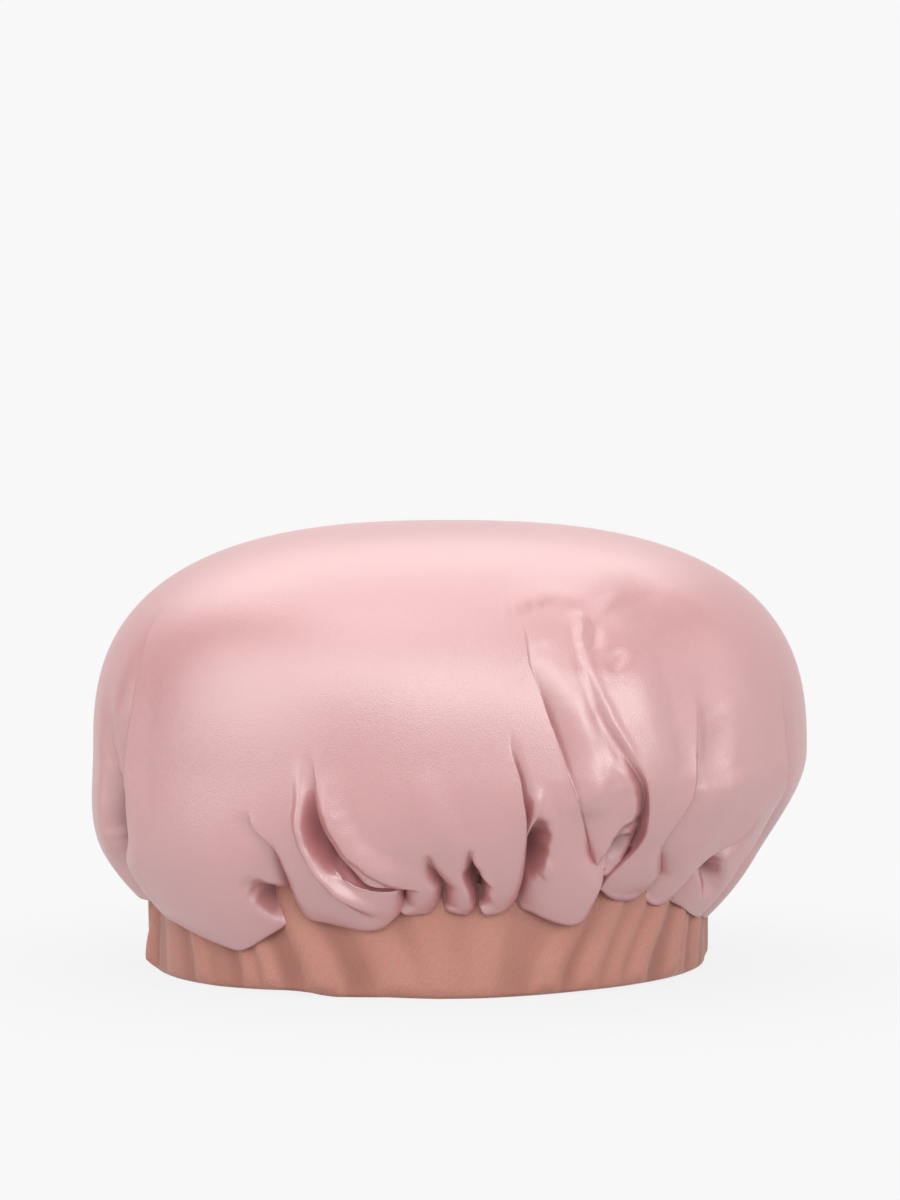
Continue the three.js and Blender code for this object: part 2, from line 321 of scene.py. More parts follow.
@dataclass(frozen=True)
class StretchFinish:
    """Matt stretch cloth with a fine slanted rib, a soft nap, and painted shade in the hollows of its
    wrinkles.
    """

    name: str
    painted_shade_color: tuple[float, float, float]
    shade: tuple[float, float, float]
    light: tuple[float, float, float]
    rib_scale: float = 380.0
    rib_slant: float = 32.0
    fleck: float = 0.25

    def material(self) -> bpy.types.Material:
        """Builds the stretch cloth's material."""
        nodes = Nodes(self.name)
        place = nodes.add("ShaderNodeTexCoord").outputs["Object"]
        cut = nodes.add("ShaderNodeUVMap", {"uv_map": CUT_MAP}).outputs["UV"]
        slant = (0.0, 0.0, math.radians(self.rib_slant))
        turn = nodes.add("ShaderNodeMapping", inputs={"Vector": cut, "Rotation": slant})
        rib = nodes.add("ShaderNodeTexWave", inputs={"Vector": turn.outputs[0], "Distortion": 1.5})
        nodes.feed(rib, "Scale", self.rib_scale)
        clouds = nodes.add("ShaderNodeTexNoise", inputs={"Vector": place, "Scale": 45.0, "Detail": 4.0})
        fuzz = nodes.add("ShaderNodeTexNoise", inputs={"Vector": place, "Scale": 1300.0, "Detail": 2.0})
        shade = nodes.ramp(clouds.outputs["Fac"], self.shade, self.light)
        fleck = nodes.add("ShaderNodeMix", {"data_type": "RGBA", "blend_type": "OVERLAY"})
        nodes.feed(fleck, 0, self.fleck)
        nodes.feed(fleck, 6, shade)
        nodes.feed(fleck, 7, fuzz.outputs["Color"])
        ribs = nodes.bump(rib.outputs["Fac"], 0.35)
        nap = nodes.bump(fuzz.outputs["Fac"], 0.5, ribs)
        # Painted shade: the colour turns dark in the wrinkles' hollows and low on the band.
        nodes.feed(nodes.shader, "Base Color", nodes.with_painted_shade(fleck.outputs[2], self.painted_shade_color))
        nodes.feed(nodes.shader, "Roughness", 0.6)
        nodes.feed(nodes.shader, "Normal", nap.outputs["Normal"])
        nodes.feed(nodes.shader, "Sheen Weight", 0.4)
        nodes.feed(nodes.shader, "Sheen Roughness", 0.4)
        nodes.feed(nodes.shader, "Sheen Tint", (1.0, 0.85, 0.8, 1.0))
        nodes.feed(nodes.shader, "Specular IOR Level", 0.4)
        return nodes.material


@dataclass(frozen=True)
class YarnFinish:
    """Twisted or woven yarn, for threads and for the elastic."""

    name: str
    shade: tuple[float, float, float]
    light: tuple[float, float, float]
    rib_scale: float
    roughness: float

    def material(self) -> bpy.types.Material:
        """Builds the yarn's material."""
        nodes = Nodes(self.name)
        place = nodes.add("ShaderNodeTexCoord").outputs["Object"]
        rib = nodes.add("ShaderNodeTexWave", {"bands_direction": "DIAGONAL"})
        nodes.feed(rib, "Vector", place)
        nodes.feed(rib, "Scale", self.rib_scale)
        nodes.feed(rib, "Distortion", 1.0)
        nodes.feed(nodes.shader, "Base Color", nodes.ramp(rib.outputs["Fac"], self.shade, self.light))
        nodes.feed(nodes.shader, "Roughness", self.roughness)
        nodes.feed(nodes.shader, "Normal", nodes.bump(rib.outputs["Fac"], 0.4).outputs["Normal"])
        return nodes.material


# Each cloth's first colour is its painted shade, for deep folds, the lobes' undersides, the lining near its
# seam and the band's wrinkle hollows.
PINK_SATIN = SatinFinish(
    "pink_satin", linear(120, 42, 44), linear(181, 115, 117), linear(188, 123, 125), 0.32, 0.5
)
PALE_SATIN = SatinFinish(
    "pale_satin", linear(170, 104, 104), linear(204, 146, 146), linear(212, 156, 156), 0.45, 0.2
)
ROSE_STRETCH = StretchFinish(
    "rose_stretch", linear(118, 66, 54), linear(177, 121, 108), linear(189, 133, 119)
)
PINK_THREAD = YarnFinish("pink_thread", linear(205, 150, 150), linear(228, 176, 176), 700.0, 0.55)
WHITE_ELASTIC = YarnFinish("white_elastic", linear(226, 221, 214), linear(244, 240, 235), 160.0, 0.8)


# Meshes

def store_cut(mesh: bpy.types.Mesh, flat: np.ndarray) -> None:
    """Keeps where each vertex was on the flat cut, as a UV map in metres."""
    corners = np.zeros(len(mesh.loops), np.int32)
    mesh.loops.foreach_get("vertex_index", corners)
    layer = mesh.uv_layers.new(name=CUT_MAP)
    layer.data.foreach_set("uv", flat[corners].astype(np.float32).ravel())


def store_painted_shade(mesh: bpy.types.Mesh, depth: np.ndarray) -> None:
    """Keeps each vertex's painted shade, from 0 to 1, mostly set by how deep in a fold it lies."""
    layer = mesh.attributes.new(PAINTED_SHADE, "FLOAT", "POINT")
    layer.data.foreach_set("value", np.clip(depth, 0.0, 1.0).astype(np.float32))


def spun(shape: bmesh.types.BMesh, steps: int) -> None:
    """Spins a line of edges all round the Z axis and closes it."""
    bmesh.ops.spin(
        shape, geom=shape.verts[:] + shape.edges[:], cent=(0, 0, 0), axis=(0, 0, 1),
        angle=math.tau, steps=steps, use_merge=True,
    )
    bmesh.ops.remove_doubles(shape, verts=shape.verts, dist=1e-7)
    bmesh.ops.recalc_face_normals(shape, faces=shape.faces)


def finished_mesh(name: str, shape: bmesh.types.BMesh) -> bpy.types.Mesh:
    """Turns a bmesh into a mesh and frees it."""
    mesh = bpy.data.meshes.new(name)
    shape.to_mesh(mesh)
    shape.free()
    return mesh


def rows_between(ends: np.ndarray, counts: tuple[int, ...]) -> list[float]:
    """Where the rows of a cut are, in even steps over each of its stretches.

    Args:
        ends: where the stretches start and end.
        counts: how many steps each stretch has.

    Returns:
        The rows' radii, from the middle outwards.
    """
    places = [0.0]
    for low, high, count in zip(ends, ends[1:], counts):
        places.extend(np.linspace(low, high, count + 1)[1:])
    return places


def flat_disc(name: str, radii: list[float], columns: int) -> bpy.types.Mesh:
    """Cuts a flat disc of cloth.

    Args:
        name: the mesh's name.
        radii: where its rows are, from the middle outwards.
        columns: how many columns go round it.

    Returns:
        The disc, with its cut kept as a UV map.
    """
    disc = bmesh.new()
    line = [disc.verts.new((radius, 0.0, 0.0)) for radius in radii]
    for pair in zip(line, line[1:]):
        disc.edges.new(pair)
    spun(disc, columns)
    mesh = finished_mesh(name, disc)
    store_cut(mesh, coordinates(mesh)[:, :2])
    return mesh


def new_piece(name: str, mesh: bpy.types.Mesh, material: bpy.types.Material) -> bpy.types.Object:
    """Makes a smooth piece that rides on the bonnet.

    Args:
        name: the piece's name.
        mesh: its mesh, in place.
        material: its finish.

    Returns:
        The new object.
    """
    piece = bpy.data.objects.new(name, mesh)
    bpy.context.scene.collection.objects.link(piece)
    mesh.materials.append(material)
    mesh.shade_smooth()
    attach(piece, BODY)
    return piece


# Frame

@dataclass(frozen=True)
class Loop:
    """The band's oval loop, as the frame holds it."""

    middle: float
    half_width: float
    half_depth: float
    height: float

    @classmethod
    def from_frame(cls) -> "Loop":
        """Reads the loop off the band's node."""
        low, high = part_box("band_casing")
        return cls((low.x + high.x) / 2, (high.x - low.x) / 2, (high.y - low.y) / 2, high.z)

    def spans(self, out: np.ndarray | float, height: np.ndarray | float) -> np.ndarray:
        """Half widths, half depths and heights of points at a distance out from the band's face."""
        out, height = np.broadcast_arrays(np.asarray(out, float), np.asarray(height, float))
        return np.stack([self.half_width + out, self.half_depth + out, height], axis=-1)


LOOP = Loop.from_frame()


@dataclass(frozen=True)
class Dome:
    """A puffed dome over the loop: half spans at the girth, and the heights of the girth and the top."""

    half_width: float
    half_depth: float
    girth: float
    top: float
    squareness: float = 2.65

    @classmethod
    def from_frame(cls, node: str, girth: float) -> "Dome":
        """Reads a dome off a node of the crown."""
        low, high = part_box(node)
        return cls((high.x - low.x) / 2, (high.y - low.y) / 2, girth, high.z)

    def section(self, share: np.ndarray) -> np.ndarray:
        """Half spans and heights from the top, at 0, to the girth, at 1."""
        turn = np.radians(90.0 * (1.0 - np.clip(share, 0.0, 1.0)))
        across, up = np.maximum(np.cos(turn), 0.0), np.sin(turn)
        reach = (across**self.squareness + up**self.squareness) ** (-1 / self.squareness)
        height = self.girth + (self.top - self.girth) * up * reach
        spread = across * reach
        return np.stack([self.half_width * spread, self.half_depth * spread, height], axis=-1)

    def fall(self, end: np.ndarray, heel: tuple[float, float], share: np.ndarray) -> np.ndarray:
        """Half spans and heights from the girth down to an end.

        Args:
            end: where each fall ends.
            heel: how far out and how far up the curve still is near its end, as shares.
            share: how far down the curve each point is.

        Returns:
            One point for each share.
        """
        girth = np.broadcast_to([self.half_width, self.half_depth, self.girth], end.shape)
        drop = girth - end
        first = girth - drop * [0.0, 0.0, 0.4]
        return bezier(girth, first, end + drop * [heel[0], heel[0], heel[1]], end, share)

    def place(self, section: np.ndarray, angle: np.ndarray, seam: float) -> np.ndarray:
        """Places of section points round the dome, which leans over the band between its seam and girth."""
        turn = np.radians(angle)
        middle = LOOP.middle * (1.0 - smoothstep((section[:, 2] - seam) / (self.girth - seam)))
        return np.stack(
            [middle + section[:, 0] * np.cos(turn), section[:, 1] * np.sin(turn), section[:, 2]], axis=-1
        )

    def degree(self, angle: np.ndarray, share: np.ndarray) -> np.ndarray:
        """Millimetres along the cloth for one degree, where its spans are a share of the girth's."""
        turn = np.radians(angle)
        reach = np.hypot(self.half_width * np.sin(turn), self.half_depth * np.cos(turn))
        return np.radians(1.0) * share * reach / MM


# Crown

class Lap(Enum):
    """Which side of a crease lies over the other, seen from outside."""

    LEFT = -1.0
    NEITHER = 0.0
    RIGHT = 1.0


@dataclass(frozen=True)
class Gather:
    """A crease that runs up the crown from the seam to its reach, a height in mm.

    Its line has stations: an angle, a height, and how far the cloth to the left and to the right of the
    crease stands out there, in mm, or in where it is below 0. left and right are the widths of that cloth.
    One side may lap over the other by cover, up to a reach of its own. Above its reach the line only guides
    the columns of the cut.
    """

    line: tuple[tuple[float, float, float, float], ...]
    reach: float
    left: float
    right: float
    lap: Lap = Lap.NEITHER
    cover: float = 0.0
    lap_reach: float = 0.0

    @classmethod
    def plain(
        cls, line: tuple[tuple[float, float], ...], left: float, right: float, depth: float
    ) -> "Gather":
        """A crease as deep on both sides, through (angle, height) points up to its reach."""
        return cls(tuple((*point, -depth, -depth) for point in line), line[-1][1], left, right)

    def along(self, column: int, height: np.ndarray | float) -> np.ndarray:
        """A column of the stations at heights in mm, with its corners rounded."""
        heights = [station[1] for station in self.line]
        steps = np.linspace(heights[0], heights[-1], round(heights[-1] - heights[0]) + 1)
        line = np.interp(steps, heights, [station[column] for station in self.line])
        return np.interp(height, steps, rounded(line, CREASE_ROUNDING, closed=False))

    def angle(self, height: np.ndarray | float) -> np.ndarray:
        """The crease's angle at heights in mm."""
        return self.along(0, height)

    def climb(self, height: np.ndarray, reach: float) -> np.ndarray:
        """How far below its reach the crease is at heights in mm, from 1 at the seam to 0."""
        low = self.line[0][1]
        return np.clip((reach - height) / (reach - low), 0.0, 1.0)


GATHERS = (
    Gather.plain(((4, 36), (5, 52), (3, 74)), 12, 11, 4),
    Gather.plain(((19, 36), (21, 60), (20, 98)), 15, 14, 5.5),
    Gather.plain(((35, 36), (34, 48), (36, 60)), 9, 10, 3.5),
    Gather.plain(((49, 36), (47, 62), (48, 106)), 15, 16, 6),
    Gather.plain(((66, 36), (67, 52), (65, 70)), 11, 10, 4),
    Gather.plain(((80, 36), (78, 60), (79, 90)), 14, 13, 5),
    Gather.plain(((94, 36), (95, 47), (94, 58)), 9, 9, 3.5),
    Gather.plain(((107, 36), (109, 64), (108, 108)), 16, 15, 6),
    Gather.plain(((124, 36), (123, 50), (125, 68)), 11, 12, 4),
    Gather.plain(((138, 36), (140, 62), (138, 94)), 14, 14, 5.5),
    Gather.plain(((153, 36), (152, 48), (153, 60)), 10, 9, 3.5),
    Gather.plain(((167, 36), (165, 58), (166, 86)), 13, 13, 5),
    Gather.plain(((183, 36), (184, 50), (183, 66)), 11, 10, 4),
    Gather(
        (
            (204, 36, -15, 3), (209, 42, -15, 3), (211, 57, -14, 3), (210, 72, -10, 2), (212, 90, -6, 1.5),
            (211, 103, -3, 1), (206, 118, -1, 0),
        ),
        124, 26, 14, Lap.RIGHT, 3,
    ),
    Gather(
        ((244.5, 36, -2.5, 1.5), (243.5, 47, -2.5, 1.5), (239, 58, -1.5, 0.5), (232, 100, 0, 0)),
        62, 14, 12, Lap.RIGHT, 1.5,
    ),
    Gather(
        (
            (266, 36, -2, 1), (262, 37.5, -2, 1), (258, 40, -2, 1), (254.5, 46, -2, 1), (251.5, 54, -2, 1),
            (249.8, 62, -2, 1), (249, 74, -1, 0.5), (247, 100, 0, 0),
        ),
        82, 5, 10, Lap.RIGHT, 1,
    ),
    Gather(((273, 36, -3, -3), (271, 39.5, -3, -3), (269.5, 46, -1.5, -1.5), (262, 100, 0, 0)), 49, 7, 6),
    Gather(
        ((280.5, 36, -4, 1.5), (278.5, 39, -4, 1.5), (276.5, 45, -2, 1), (272, 100, 0, 0)),
        50, 8, 5, Lap.RIGHT, 1.5,
    ),
    Gather(
        (
            (286.5, 36, 2, -7), (286, 41, 2.5, -7), (284, 50, 2.5, -6), (282.5, 58, 2, -5),
            (280.5, 67, 1.5, -3), (279, 84, 0, -1), (278, 100, 0, 0),
        ),
        88, 12, 8, Lap.LEFT, 2.5,
    ),
    Gather(
        (
            (303, 36, 1, -1), (298, 40, 1, -1), (294, 50, 0.8, -1), (290.5, 60, 0.8, -1.2),
            (288, 71, 0.4, -2.2), (286.5, 81, 0, -3.2), (284.5, 92, 0, -3.6), (282.5, 108, 0, -2),
        ),
        120, 12, 17, Lap.LEFT, 1.2,
    ),
    Gather(
        (
            (306, 36, -7, 2), (308.5, 42, -8, 2.5), (307.5, 50, -8, 3), (305, 58, -7, 3),
            (302, 68, -4.5, 2), (298, 76, -2.5, 1.5), (293.5, 90, -1.5, 1), (291, 109, -0.5, 0.5),
        ),
        122, 8, 16, Lap.RIGHT, 4, 78,
    ),
    Gather(
        (
            (317.8, 36, 1, -3), (313, 43, 1.5, -3), (311, 50, 2, -3), (310.5, 60, 2, -3),
            (310, 72, 1.5, -3), (311.5, 88, 0, -1),
        ),
        94, 10, 10, Lap.LEFT, 1.5,
    ),
    Gather(
        ((326, 36, 2, -5), (328, 41, 2, -5), (332, 46, 1.5, -3), (334, 51, 1, -1), (324, 100, 0, 0)),
        58, 10, 8, Lap.LEFT, 3,
    ),
    Gather(
        (
            (344, 36, 1.5, -4), (346, 42, 1.5, -4), (341.5, 52, 1.5, -4), (336, 66, 1.5, -4),
            (335.5, 77, 1, -3), (335, 100, 0, -1),
        ),
        106, 12, 14, Lap.LEFT, 1.5,
    ),
)

# The lobes' lowest line: (angle, height in mm, mm out from the band)
LOBE_EDGE = (
    (0, 18, 2), (12, 20, 4), (28, 22, 5.5), (42, 20.5, 5), (58, 23, 6), (73, 21, 5.5), (87, 24, 6),
    (100, 21, 5.5), (115, 22.5, 6), (131, 20.5, 5.5), (145, 23.5, 6), (160, 21.5, 5.5), (175, 23, 6),
    (192, 25, 6), (200, 24, 4), (206, 22, 4), (213, 19.2, 4), (223, 15.6, 3.5), (231, 13, 3), (236, 18, 3),
    (243.8, 25.8, 3), (247.6, 25.8, 3.5), (251.3, 24.8, 4), (258, 22.6, 4.5), (262, 23.3, 4),
    (264.8, 28.5, 3), (270.4, 29.2, 4), (272.5, 31, 3), (276, 28.8, 4), (281, 28, 4), (286.6, 30.5, 4),
    (289, 32, 3), (290.6, 28.1, 4), (295.8, 24.2, 5), (299, 23, 5), (302.4, 23.6, 4), (303.7, 29.9, 3),
    (307.6, 33, 3), (312, 30.8, 4), (317.8, 32, 3), (320.9, 26.4, 3), (323.6, 27.6, 3), (326, 29.8, 3),
    (332, 24.5, 3), (337.4, 21, 2), (345, 18, 2), (360, 18, 2),
)


@dataclass(frozen=True)
class Fold:
    """A fold of the crown's cloth along a line of (angle, height in mm) points.

    height is how far it stands out in mm, or in where it is below 0, and it grows by a factor along the
    line. left and right are its widths in mm to either side, going along the line as seen from outside,
    and fade is the share of the line over which each end runs out.
    """

    line: tuple[tuple[float, float], ...]
    height: float
    left: float
    right: float
    grow: float = 1.0
    fade: float = 0.3

    def rise(self, along: np.ndarray, share: np.ndarray) -> np.ndarray:
        """How far the fold stands out, in mm.

        Args:
            along: how far along the line each point is, from 0 to 1.
            share: how far across the fold's width it is, from 0 on the line to 1.

        Returns:
            One distance for each point.
        """
        ends = smoothstep(along / self.fade) * smoothstep((1.0 - along) / self.fade)
        across = np.clip(1.0 - share**2, 0.0, 1.0) ** 2
        return self.height * (1.0 + (self.grow - 1.0) * along) * ends * across


def beside_line(
    points: np.ndarray, path: np.ndarray, facing: np.ndarray
) -> tuple[np.ndarray, np.ndarray, np.ndarray]:
    """Where points of the cloth lie beside a line on it.

    Args:
        points: the points.
        path: places along the line.
        facing: which way the cloth faces at each of those places.

    Returns:
        Distances from the line, whether each point is to the left of it, and shares along it from 0 to 1.
    """
    near = np.full(len(points), np.inf)
    leftward = np.zeros(len(points), bool)
    along = np.zeros(len(points))
    for k, (start, end) in enumerate(zip(path, path[1:])):
        step = end - start
        share = np.clip((points - start) @ step / max(step @ step, 1e-12), 0.0, 1.0)
        gap = points - start - share[:, None] * step
        distance = np.linalg.norm(gap, axis=1)
        closer = distance < near
        near[closer] = distance[closer]
        leftward[closer] = gap[closer] @ np.cross(facing[k], step) >= 0
        along[closer] = (k + share[closer]) / (len(path) - 1)
    return near, leftward, along


FOLDS = (
    # The long folds on the right of the front
    Fold(((281, 98), (281.3, 104.5), (283, 109.5), (285.5, 113), (288, 111)), -0.4, 2.5, 2.5),
    Fold(((291.7, 118), (292.6, 99.5), (294.3, 92), (297.2, 80), (299, 66)), 1.0, 2.5, 4),
    Fold(((300, 128), (300, 108), (301, 90), (303, 72), (306, 54)), 2.2, 13, 30, grow=2.0, fade=0.35),
    Fold(((289, 112), (289, 96), (290, 82), (292, 66), (295, 52)), 1.0, 7, 9, grow=2.0, fade=0.35),
    Fold(((287.5, 67), (292, 65), (297, 62.5)), 1.8, 18, 8, fade=0.45),
    Fold(((302.5, 60), (303.4, 50), (303.2, 43), (302.2, 33)), -9.5, 6, 9, fade=0.45),
    Fold(((301, 36), (303, 47), (305.5, 57)), 3.0, 2.5, 3),
    Fold(((283.6, 71), (284.2, 58), (284.6, 46)), 1.4, 2, 3),
    Fold(((283.8, 70), (285.6, 61), (288.5, 53), (289.5, 42)), 1.2, 3, 3, fade=0.5),
    Fold(((285, 62), (286.3, 52), (287.2, 44), (287.8, 37)), -9.0, 5, 4, fade=0.45),
    Fold(((287.3, 39), (289.3, 42.5), (292.5, 42.5)), 1.6, 4, 6, fade=0.45),
    Fold(((309, 63), (318, 65), (330, 68)), 1.4, 7, 14, fade=0.5),
    Fold(((315, 106), (314.5, 80), (313, 60)), -3.0, 12, 7, fade=0.5),
    # The small loops above them
    Fold(((289.5, 120), (293, 121.3), (292.6, 118), (292, 114.3), (290.5, 112)), 1.2, 2.2, 2.2),
    Fold(((296, 119), (294.5, 115.5), (294, 112)), -1.1, 2.2, 2.2),
    Fold(((299, 112), (297, 107.5), (295, 105)), -0.9, 2.5, 2.5),
    Fold(((277, 123), (284, 126.6), (290.5, 127.6), (295, 123)), 0.7, 8, 4),
    # The pinched folds and pockets on the left
    Fold(((246.6, 80), (247.5, 61), (249, 52), (252, 42.7), (257, 33), (263, 27)), 4.0, 3.2, 3.2),
    Fold(
        ((248.9, 74), (249.6, 61), (251, 53), (254.3, 45), (257.6, 40), (260.5, 37.5)),
        -4.6, 3, 3.2, fade=0.4,
    ),
    Fold(((250.6, 78), (252, 62), (254.5, 53), (259, 45), (264, 39), (270, 34)), 2.4, 8, 2.5),
    Fold(((237.5, 39), (240, 32), (242, 27.5), (245.5, 22)), -9.0, 5, 5, fade=0.45),
    Fold(((209, 94), (206.8, 70), (209, 66), (212, 52)), -0.8, 4, 4),
    Fold(((198.5, 100), (199.5, 74), (200, 46)), -3.0, 7, 7, fade=0.5),
    Fold(((200.5, 72), (201.3, 50), (200, 28)), -11.0, 5, 9, fade=0.45),
    Fold(((264, 76), (270.5, 56), (277, 40)), 1.2, 8, 8, fade=0.5),
    Fold(((277, 44), (278.5, 37), (281.8, 26)), -7.0, 3, 4, fade=0.45),
    # The pocket on the right
    Fold(((327, 43), (332, 35), (338, 26)), -9.0, 5, 5, fade=0.45),
    # The broad unevenness of the filled crown
    Fold(((303, 136), (312, 114), (317, 88)), -2.6, 20, 20),
)


@dataclass
class Crown:
    """The gathered satin crown.

    Lengths are metres. It is cut as a flat disc, whose radius runs from the top over the girth and the
    lobes, up their undersides to the band's top edge, and down into the seam. A point's stage says how far
    along it lies: 1 is the girth, 2 the lobes' lowest line, 3 the foot at the band's top edge, 4 the seam
    and 5 the cut's own edge. density says how close together the columns are, by angle.
    """

    girth: float = 73 * MM
    seam_out: float = -2.6 * MM
    foot_out: float = 1.5 * MM
    edge_gap: float = 1.1 * MM
    crease_drop: float = 3 * MM
    allowance: float = 6 * MM
    over_top: float = 80 * MM
    over_shoulder: float = 76 * MM
    over_lobe: float = 57 * MM
    under_lobe: float = 15 * MM
    over_edge: float = 4 * MM
    columns: int = 600
    density: tuple[tuple[float, float], ...] = ((190, 0.4), (205, 0.9), (240, 1.4), (326, 1.9), (345, 0.4))
    lobe_heel: tuple[float, float] = (0.53, 0.23)
    crease_heel: tuple[float, float] = (0.35, 0.3)
    crease_width: tuple[float, float] = (0.45, 0.55)
    crease_sharpness: tuple[float, float] = (1.6, 3.4)
    rise_fade: float = 0.2
    lap_fade: float = 0.35
    lobe_curl: float = 3 * MM
    lobe_dip: float = 3.5 * MM
    under_rise: float = 10 * MM
    loose_reach: float = 20 * MM
    easing: tuple[int, float] = (2, 0.4)
    # How deep a fold must be before it gets painted shade, and over how much more depth the painted shade
    # grows; then how far onto the lobes' undersides the painted shade takes to reach full.
    painted_shade_from_depth: float = 2.5 * MM
    painted_shade_over_depth: float = 8 * MM
    painted_underside_shade_over: float = 6 * MM
    rows: tuple[int, ...] = (22, 58, 56, 18, 5, 4)
    columns_height: float = 75.0

    def __post_init__(self) -> None:
        """Takes the crown's size from the frame, and lays out the cut's stages and columns."""
        self.dome = Dome.from_frame("crown_satin", self.girth)
        self.seam_top = LOOP.height + self.edge_gap
        over_dome = self.over_top + self.over_shoulder
        stretches = [over_dome, self.over_lobe, self.under_lobe, self.over_edge, self.allowance]
        self.stages = np.concatenate([[0.0], np.cumsum(stretches)])
        angles, *values = zip(*LOBE_EDGE)
        self.edge_angles = np.arange(0.0, 360.5, 0.5)
        lines = [np.interp(self.edge_angles, angles, each) for each in values]
        self.edge_line = [rounded(line, EDGE_ROUNDING, closed=True) for line in lines]
        seams = np.array([gather.angle(SEAM) for gather in GATHERS])
        tops = np.array([gather.angle(self.columns_height) for gather in GATHERS])
        gaps = np.maximum(np.diff(seams, append=seams[0] + 360), np.diff(tops, append=tops[0] + 360))
        weights = gaps * np.interp(tops + gaps / 2, *zip(*self.density))
        starts = np.concatenate([[0.0], np.cumsum(weights)[:-1]]) / weights.sum()
        self.marks = np.round(starts * self.columns) * 360.0 / self.columns

    def radii(self) -> list[float]:
        """Where the cut's rows are, close together where the cloth folds."""
        return rows_between(np.insert(self.stages, 1, self.over_top), self.rows)

    def angle(self, cut_angle: np.ndarray, height: np.ndarray) -> np.ndarray:
        """Angles of the cut's columns round the crown, which follow the creases.

        Args:
            cut_angle: angles on the flat cut.
            height: heights in mm.

        Returns:
            Angles in degrees.
        """
        gap = np.searchsorted(self.marks, cut_angle, side="right") - 1
        ends = np.append(self.marks, 360.0)
        share = (cut_angle - ends[gap]) / (ends[gap + 1] - ends[gap])
        lines = np.array([gather.angle(height) for gather in GATHERS])
        lines = np.vstack([lines, lines[:1] + 360.0])
        each = np.arange(len(cut_angle))
        left, right = lines[gap, each], lines[gap + 1, each]
        return left + share * (right - left)

    def lobe(self, stage: np.ndarray, angle: np.ndarray) -> np.ndarray:
        """Section points over a lobe and up its underside, by their stage."""
        edge, out = (np.interp(angle % 360, self.edge_angles, values) * MM for values in self.edge_line)
        end = LOOP.spans(out, edge)
        points = self.dome.fall(end, self.lobe_heel, stage - 1.0)
        foot = LOOP.spans(self.foot_out, self.seam_top)
        inward = np.minimum(out, self.lobe_curl)
        curl = np.stack([inward, inward, np.full(len(out), self.lobe_dip)], axis=-1)
        under = bezier(end, end - curl, foot - [0, 0, self.under_rise], foot, stage - 2.0)
        return np.where((stage > 2.0)[:, None], under, points)

    def crease(self, stage: np.ndarray) -> np.ndarray:
        """Section points at the bottom of a crease, by their stage."""
        foot = np.broadcast_to(LOOP.spans(self.foot_out, self.seam_top), (len(stage), 3))
        drop = np.array([0.0, 0.0, self.crease_drop])
        points = self.dome.fall(foot - drop, self.crease_heel, stage - 1.0)
        rest = 1.0 - np.clip(stage - 2.0, 0.0, 1.0)[:, None]
        return np.where((stage > 2.0)[:, None], foot - drop * rest, points)

    def creased(
        self, stage: np.ndarray, angle: np.ndarray, height: np.ndarray, degree: np.ndarray
    ) -> tuple[np.ndarray, np.ndarray, np.ndarray]:
        """What the gathers do to each point.

        Args:
            stage: the points' stages.
            angle: their angles round the crown in degrees.
            height: their heights in mm.
            degree: the mm along the cloth for one degree there.

        Returns:
            The share of the lobe that is left, how far the cloth stands out, and how far it slides to the
            side over a crease, both in mm.
        """
        smooth = np.ones(len(angle))
        out = np.zeros(len(angle))
        slide = np.zeros(len(angle))
        sharpness = self.crease_sharpness[0] + self.crease_sharpness[1] * smoothstep((stage - 1.2) / 0.8)
        for gather in GATHERS:
            away = turn_between(angle, gather.angle(height)) * degree
            climb = gather.climb(height, gather.reach)
            fade = smoothstep(climb) ** 0.8
            width = np.where(away > 0, gather.right, gather.left)
            width = width * (self.crease_width[0] + self.crease_width[1] * fade)
            near = np.clip(1.0 - np.abs(away) / width, 0.0, 1.0)
            smooth *= 1.0 - fade * near**sharpness
            rise = np.where(away > 0, gather.along(3, height), gather.along(2, height))
            out += rise * near**1.5 * smoothstep(climb / self.rise_fade)
            over = np.where(away * gather.lap.value > 0.05, near, 0.0)
            over *= smoothstep(gather.climb(height, gather.lap_reach or gather.reach) / self.lap_fade)
            slide -= gather.cover * gather.lap.value * over
        return smooth, out, slide

    def puffed(
        self, radius: np.ndarray, cut_angle: np.ndarray
    ) -> tuple[np.ndarray, np.ndarray, np.ndarray]:
        """Where the points of the flat cut lie on the puffed and gathered crown.

        Args:
            radius: distances from the cut's middle.
            cut_angle: angles on the cut in degrees.

        Returns:
            Places in the frame, places before the creases are made, and angles round the crown.
        """
        stage = np.interp(radius, self.stages, np.arange(len(self.stages)))
        dome = self.dome.section(stage)
        rough = self.lobe(stage, self.angle(cut_angle, np.full(len(radius), SEAM)))
        height = np.where(stage < 1.0, dome[:, 2], np.where(stage < 2.0, rough[:, 2], self.seam_top)) / MM
        angle = self.angle(cut_angle, height)
        height = np.maximum(height, LOOP.height / MM)
        degree = self.dome.degree(angle, np.where(stage < 1.0, dome[:, 0] / self.dome.half_width, 1.0))
        smooth, out, slide = self.creased(stage, angle, height, degree)
        below = smoothstep(3.0 - stage)
        lobe = self.lobe(stage, angle)
        lower = lobe + (self.crease(stage) - lobe) * (1.0 - smooth)[:, None]
        inward = (self.seam_out - self.foot_out) * np.clip(stage - 3.0, 0.0, 1.0)
        over_edge = LOOP.spans(self.foot_out + inward, self.seam_top)
        over_edge[:, 2] -= self.allowance * np.clip(stage - 4.0, 0.0, 1.0)
        section = np.where((stage < 1.0)[:, None], dome, np.where((stage < 3.0)[:, None], lower, over_edge))
        plain = np.where((stage < 1.0)[:, None], dome, np.where((stage < 3.0)[:, None], lobe, over_edge))
        base = self.dome.place(plain, angle, self.seam_top)
        section[:, :2] += (out * below * MM)[:, None]
